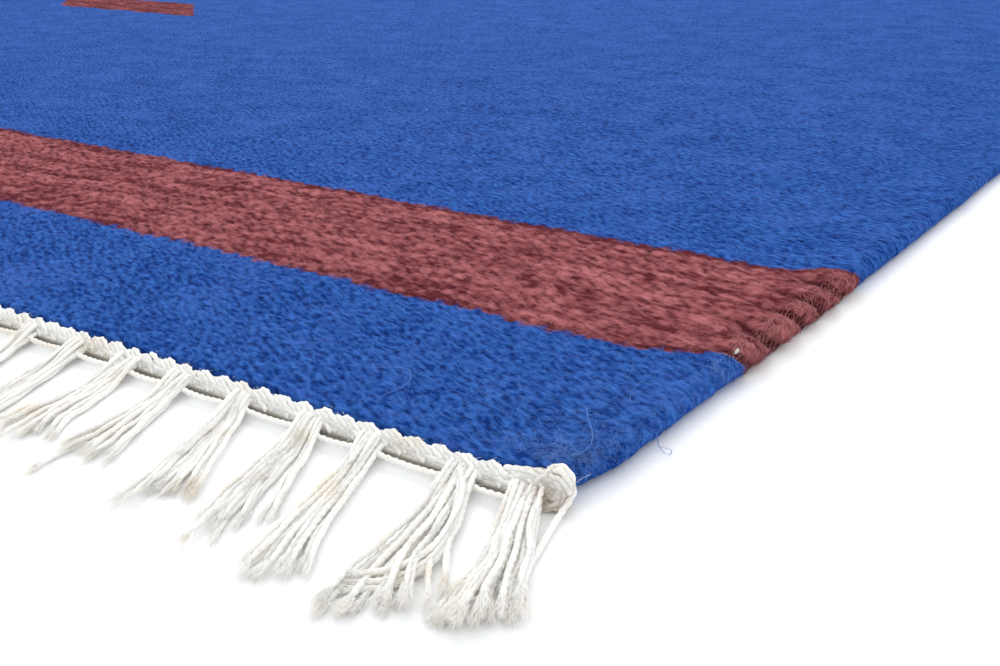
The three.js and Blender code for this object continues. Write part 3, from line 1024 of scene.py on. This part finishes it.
def lay_tassel(yarns, frays, row, k, fine_tassels, rng):
    """The yarns of one tassel, from inside the braid to their frayed tips."""
    count = row["yarns"]
    steps, fibres = fineness(k, fine_tassels)
    layers, rise = LAYERS.get(k, REST_LAYERS)
    stray_out, stray_side = CORNER_STRAY if k in LAYERS else REST_STRAY
    order = rng.permutation(count)
    s = np.linspace(0, 1, steps)
    sway = rng.uniform(0.3, 0.7) * swing(s, rng.uniform(0.8, 1.6), rng) * s
    centre = (sum(row["tip"]) - sum(row["root"])) / 2
    for j in range(count):
        q = j / (count - 1)
        root, tip, reach = (a + (b - a) * q for a, b in (row["root"], row["tip"], row["reach"]))
        reach += row["mid"] * 4 * q * (1 - q) + rng.normal(0, stray_out)
        out = ROOT_OUT + s * (reach - ROOT_OUT)
        bow = rng.normal(0, 0.45) * 4 * s * (1 - s)
        spread = (tip - root - centre) * s**2.2 + rng.normal(0, stray_side) * s**1.5
        wave = rng.uniform(0.08, 0.32) * s**0.7
        wave = wave * swing(s, rng.uniform(1.6, 3.4), rng)
        at = root + centre * s + spread + bow + sway + wave
        radius = YARN * rng.uniform(*YARN_UNEVEN)
        hump = 0.3 * np.abs(swing(s, 1.9, rng))
        lying = radius * (1 + 1.2 * (order[j] % layers) * rise) + hump
        begun = ROOT_UP[0] + (ROOT_UP[1] - ROOT_UP[0]) * order[j] / (count - 1)
        up = np.maximum(begun + (lying - begun) * smoothstep(s / 0.35), radius)
        taper = radius * (1 - 0.65 * smoothstep((s - 0.9) / 0.1))
        path = end_place(at, out, up)
        yarns.add(path, taper, plies=TASSEL_PLIES, phase=rng.uniform(0, 6.28))
        fray(frays, path, fibres, rng)


# The braid. Each loop rises against the cloth, slants out to the right over the next ones and dives
# under them. Coarse loops have fewer and thicker strands.
BUMP_START = 6.5
BUMP_PITCH = 5.8
BUMPS_PER_TASSEL = 3.1
BRAID_LOOP = [(1.3, 0.9, 2.6), (0.6, 1.0, 3.6), (-1.3, 1.6, 3.95), (-4.0, 2.8, 3.3), (-6.8, 3.7, 2.3)]
FINE_BRAID = dict(steps=18, strands=3, apart=1.15, radius=0.68, fluff=16)
COARSE_BRAID = dict(steps=7, strands=2, apart=1.7, radius=0.88, fluff=0)
BRAID_FLUFF_LONG = (0.0004, 0.0012)


def lay_braid(yarns, frays, bumps, laid, rng):
    """Loop after loop of the braid."""
    for bump in bumps:
        for strand in range(laid["strands"]):
            across, out, up = np.array(BRAID_LOOP).T
            across = across + BUMP_START + bump * BUMP_PITCH + laid["apart"] * strand + rng.normal(0, 0.2)
            out = out + 0.32 * strand + rng.normal(0, 0.12)
            up = up - 0.25 * strand + rng.normal(0, 0.12)
            path = curve(end_place(across, out, up), laid["steps"])
            yarns.add(path, laid["radius"], plies=BRAID_PLIES, phase=rng.uniform(0, 6.28))
            if laid["fluff"]:
                pick = rng.integers(len(path) // 3, len(path), laid["fluff"])
                fluff(frays, path[pick], 0.0004, BRAID_FLUFF_LONG, rng)


# The imported warp ends inside the braid, which close the view between its loops: how far out and up each
# of two thick strands lies, and its radius. Where they lie low they are darkened with painted shade
# under the braid.
CORE_STRANDS = [(2.2, 2.0, 1.3), (3.5, 1.05, 1.0)]
CORE_STEP = 3


def lay_core(yarns):
    """The two strands inside the braid, from selvedge to selvedge."""
    at = np.arange(-1, END_WIDE + 1, CORE_STEP)
    for out, up, radius in CORE_STRANDS:
        yarns.add(end_place(at, np.full(len(at), out), np.full(len(at), up)), radius, plies=CORE_PLIES)


# Feeders run from the braid's lower edge down to the right into each tassel's root, and the neck cord
# passes from tassel to tassel outside them.
FEEDER_RADIUS = 0.66
FEEDER_OUT = [3.0, 3.7, 4.3, 5.6]
FEEDER_UP = [(2.9, 2.7, 2.6, 2.2), (2.3, 2.1, 2.1, 2.2)]
FEEDER_APART = 1.3
NECK_OUT = 7.7
NECK_UP = [2.3, 1.8, 2.3]
NECK_RADIUS = 0.68
NECK_TURN = 3.4


def lay_feeders(yarns, rows, tassels, steps, rng):
    """Two feeders into each tassel, and the neck cord from its neck to the next."""
    for k in tassels:
        right = sum(rows[k]["root"]) / 2
        last = k + 1 == len(rows)
        left = right + 5 if last else sum(rows[k + 1]["root"]) / 2
        mid = (left + right) / 2
        for strand, up in enumerate(FEEDER_UP):
            off = strand * FEEDER_APART
            across = [left - 1 - off, mid - off, right + 2.8 - off, right + 0.8]
            path = curve(end_place(across, FEEDER_OUT, up), steps)
            yarns.add(path, FEEDER_RADIUS, phase=rng.uniform(0, 6))
        if not last:
            out = [NECK_OUT - 0.4, NECK_OUT + rng.uniform(-0.3, 0.3), NECK_OUT - 0.1]
            path = curve(end_place([left + 0.4, mid, right - 0.4], out, NECK_UP), 2 * steps)
            yarns.add(path, NECK_RADIUS, turn=NECK_TURN)


# The knot. The braid's last yarns wrap round the cloth's corner and are tied, with one tail left long
# at the photographed corner.
KNOT_RADIUS = 0.78
KNOT_TURN = 5
KNOT_PLIES = 0.16
KNOT_YARNS = [
    [(5.2, 0.6, 4), (1.4, -0.4, 5), (-0.5, -0.7, 6.1), (-2.4, -0.6, 6), (-3.8, 0, 4.9), (-4.2, 0.4, 3.4)],
    [(5.4, 1.3, 4), (1, 0.5, 5), (-1, 0.3, 5.9), (-2.7, 0.6, 5.6), (-3.8, 0.9, 4.5), (-4.3, 1.2, 3.3)],
    [(8, 0.6, 3.8), (3.5, 0.7, 4.7), (1, 1.2, 5), (-1.8, 1.7, 5), (-3.6, 1.8, 4.2), (-4.5, 1.9, 2.9)],
    [(9.4, 1.4, 3.9), (6, 1.3, 4.3), (3.2, 1.8, 4.6), (0.4, 2.3, 4.4), (-2, 2.7, 3.9), (-3.8, 2.8, 2.8)],
    [(7.6, 3, 3.2), (4.6, 2.7, 3.7), (1.8, 3, 3.7), (-0.8, 3.2, 3.3), (-2.8, 3.5, 2.5), (-3.6, 3.8, 1.5)],
    [(2.6, 0, 4.4), (0.8, -0.6, 5.3), (0.2, 0.4, 5.7), (0.6, 1.8, 5), (1.6, 3.2, 3.8)],
    [(0.8, 3, 3.1), (-1.6, 3.1, 3.2), (-3.4, 3.1, 2.5), (-4, 3.6, 1.5), (-3, 4.4, 1.1), (-1.4, 4.3, 1.1)],
    [(-1.2, 3.9, 1.2), (-0.4, 3.4, 1.9), (-1.8, 3.6, 2.5), (-3.2, 4, 2), (-2.6, 4.7, 1.2), (-1, 4.6, 0.9)],
]
KNOT_CORE = [(6, 1.8, 2.6), (1.5, 1.6, 3.4), (-1.8, 1.5, 3.6), (-2.6, 2.2, 2.6), (-2.4, 3.2, 1.5)]
KNOT_CORE_RADIUS = 1.9
KNOT_TAIL = [
    (-3.4, -0.2, 4.4),
    (-4.6, 0.6, 3.2),
    (-5.0, 3.1, 2.0),
    (-5.3, 5.8, 1.4),
    (-6.2, 10.0, 1.0),
    (-7.8, 15.5, 0.8),
    (-9.6, 21.7, 0.8),
    (-11.0, 26.0, 0.8),
]
KNOT_TAIL_RADIUS = 0.66
KNOT_TAIL_BRUSH = 60
# Three yarns of the second tassel fall to the right and turn back to the left near the floor.
TURNED_YARNS = [
    [(16.4, 6, 3.2), (11.5, 12.5, 2.6), (5.2, 24, 2.2), (3.6, 31, 1.6), (5, 38, 1.4), (9.8, 42.5, 1.1)],
    [(15.6, 6, 3), (10.6, 13, 2.2), (4.4, 25, 1.8), (3, 32, 1.2), (4.6, 39.5, 1), (9.4, 44.2, 0.9)],
    [(16, 6, 3.5), (11, 12, 3), (6, 23, 2.6), (4.8, 30, 2.2), (6.2, 36.5, 2), (10.4, 41, 1.8)],
]
TURNED_RADIUS = YARN * 1.05
TURNED_BRUSH = 90


def lay_knot(yarns, frays, mirror, rng):
    """The knot at one corner. The mirrored one, at the other selvedge, has no tail."""

    def through(points, steps):
        across, out, up = np.array(points, float).T
        return curve(end_place(END_WIDE - across if mirror else across, out, up), steps)

    for points in KNOT_YARNS:
        phase = rng.uniform(0, 6.28)
        yarns.add(through(points, 24), KNOT_RADIUS, turn=KNOT_TURN, plies=KNOT_PLIES, phase=phase)
    yarns.add(through(KNOT_CORE, 12), KNOT_CORE_RADIUS, plies=CORE_PLIES)
    if not mirror:
        tail = through(KNOT_TAIL, 40)
        yarns.add(tail, KNOT_TAIL_RADIUS, plies=TASSEL_PLIES)
        fray(frays, tail, KNOT_TAIL_BRUSH, rng)
        for points in TURNED_YARNS:
            path = through(points, 34)
            yarns.add(path, TURNED_RADIUS, plies=TASSEL_PLIES, phase=rng.uniform(0, 6.28))
            fray(frays, path, TURNED_BRUSH, rng)


def end_finish(fine_tassels, seed):
    """All the yarns of one end: its tassels, their fibres, and its braid with what holds it."""
    rng = np.random.default_rng(seed)
    rows = tassel_rows()
    tassels, frays, locks = Yarns(), Strands(), Yarns()
    for k, row in enumerate(rows):
        lay_tassel(tassels, frays, row, k, fine_tassels, rng)
    bumps = int((END_WIDE - LAST_ROOT_IN) / BUMP_PITCH)
    fine_bumps = int(fine_tassels * BUMPS_PER_TASSEL)
    lay_braid(locks, frays, range(fine_bumps), FINE_BRAID, rng)
    lay_braid(locks, frays, range(fine_bumps, bumps), COARSE_BRAID, rng)
    lay_feeders(locks, rows, range(fine_tassels), FINE_BRAID["steps"], rng)
    lay_feeders(locks, rows, range(fine_tassels, len(rows)), COARSE_BRAID["steps"], rng)
    lay_core(locks)
    lay_knot(locks, frays, False, rng)
    lay_knot(locks, frays, True, rng)
    return tassels, frays, locks


cotton_fluff = cotton_material("cream_fluff", CREAM_FLUFF, False)
for end, fine_tassels, seed in (("near", FINE_TASSELS, 3), ("far", 0, 4)):
    tassels, frays, locks = end_finish(fine_tassels, seed)
    made = [
        tassels.piece(f"tassels_{end}", plied_yarn, cotton, Sides=YARN_SIDES),
        frays.piece(f"tassel_tips_{end}", flat_fibre, cotton_fluff, Width=1.0),
        locks.piece(f"end_braid_{end}", plied_yarn, cotton, Sides=YARN_SIDES),
    ]
    for piece in made:
        if end == "far":
            piece.data.transform(Matrix.Rotation(math.pi, 4, "Z"))
        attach(piece, "root")
        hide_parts(f"fringe_{end}")
